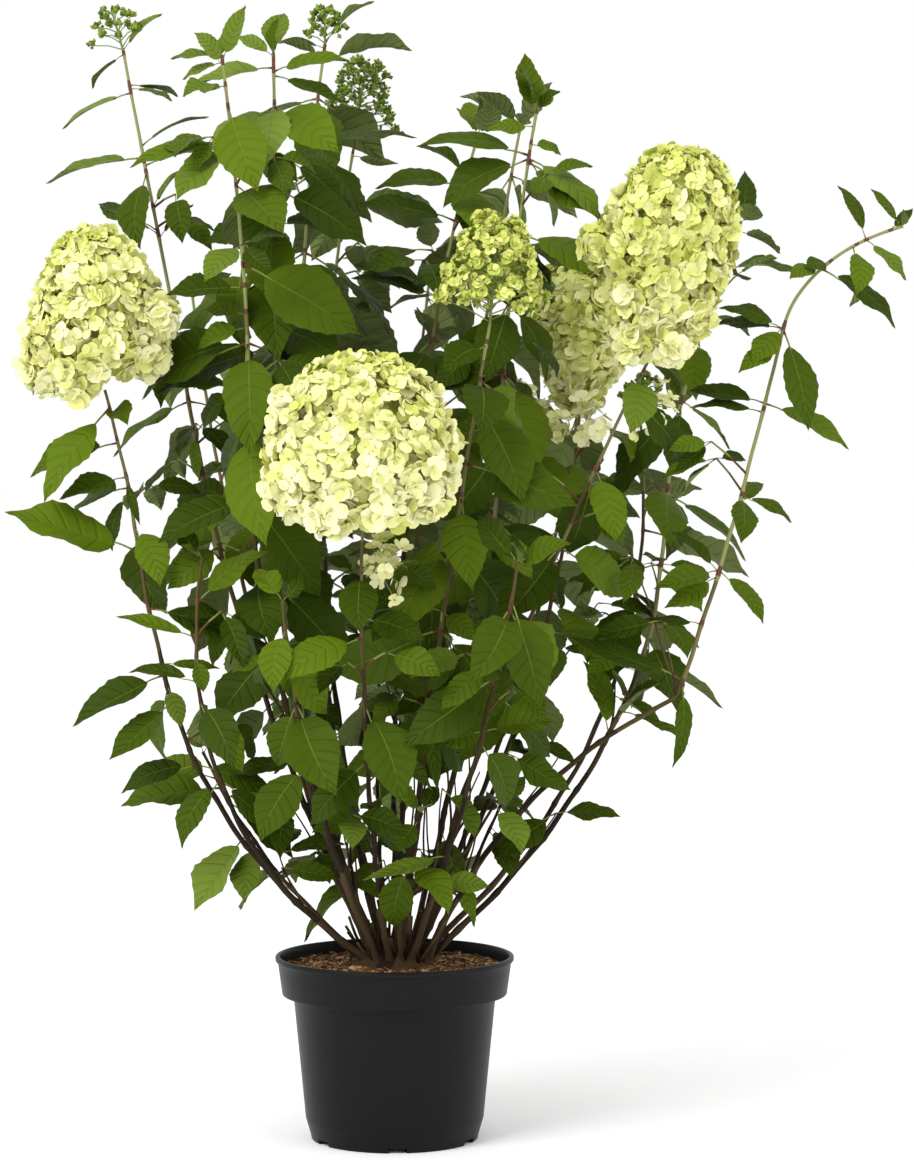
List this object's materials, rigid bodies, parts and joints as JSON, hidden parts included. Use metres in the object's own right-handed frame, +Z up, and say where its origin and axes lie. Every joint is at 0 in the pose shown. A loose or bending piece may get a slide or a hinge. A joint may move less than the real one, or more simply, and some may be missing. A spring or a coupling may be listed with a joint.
{
  "type": "potted hydrangea shrub",
  "caption": "Panicle hydrangea shrub in a round black nursery pot: upright canes from one woody crown, opposite leaves and cone-shaped pale lime flower heads.",
  "frame": {"origin": "centre of the pot's round foot pad, on the floor", "axes": "+Z up along the pot's axis, +X to the right and -Y towards the viewer of the picture"},
  "size_m": [0.9701, 0.7915, 1.2405],
  "materials": {
    "pot_plastic": "satin black, moulded",
    "compost": "matt, fibrous",
    "bark": "matt brown bark",
    "leafy_shoot": "satin green leaf",
    "flowering_shoot": "matt lime petal over green leaf"
  },
  "bodies": {
    "root": {"cane_back_left": "bark", "cane_back_middle": "bark", "cane_back_right": "bark", "cane_centre_front": "bark", "cane_far_left": "bark", "cane_far_right": "bark", "cane_far_right_low": "bark", "cane_front_left": "bark", "cane_front_right": "bark", "cane_green_bloom": "bark", "cane_inner_left": "bark", "cane_inner_right": "bark", "cane_lace_middle": "bark", "cane_lace_right": "bark", "cane_right_bloom": "bark", "cane_slim_right": "bark", "cane_tall_left": "bark", "cane_tall_middle": "bark", "cane_upper_back": "bark", "cane_upper_left": "bark", "cane_upper_middle": "bark", "cane_upper_right": "bark", "cane_weak_left": "bark", "compost": "compost", "pot": "pot_plastic", "shoot_back_left": "leafy_shoot", "shoot_back_middle": "leafy_shoot", "shoot_back_right": "flowering_shoot", "shoot_centre_front": "flowering_shoot", "shoot_far_left": "flowering_shoot", "shoot_far_right": "leafy_shoot", "shoot_front_left": "leafy_shoot", "shoot_front_right": "leafy_shoot", "shoot_green_bloom": "flowering_shoot", "shoot_inner_left": "leafy_shoot", "shoot_inner_right": "leafy_shoot", "shoot_lace_middle": "leafy_shoot", "shoot_lace_right": "leafy_shoot", "shoot_low_back": "leafy_shoot", "shoot_low_front": "leafy_shoot", "shoot_low_left": "leafy_shoot", "shoot_low_right": "leafy_shoot", "shoot_right_bloom": "flowering_shoot", "shoot_slim_right": "leafy_shoot", "shoot_tall_left": "leafy_shoot", "shoot_tall_middle": "leafy_shoot", "shoot_upper_back": "leafy_shoot", "shoot_upper_left": "leafy_shoot", "shoot_upper_middle": "leafy_shoot", "shoot_upper_right": "leafy_shoot", "shoot_weak_left": "leafy_shoot", "woody_crown": "bark"}
  },
  "joints": []
}
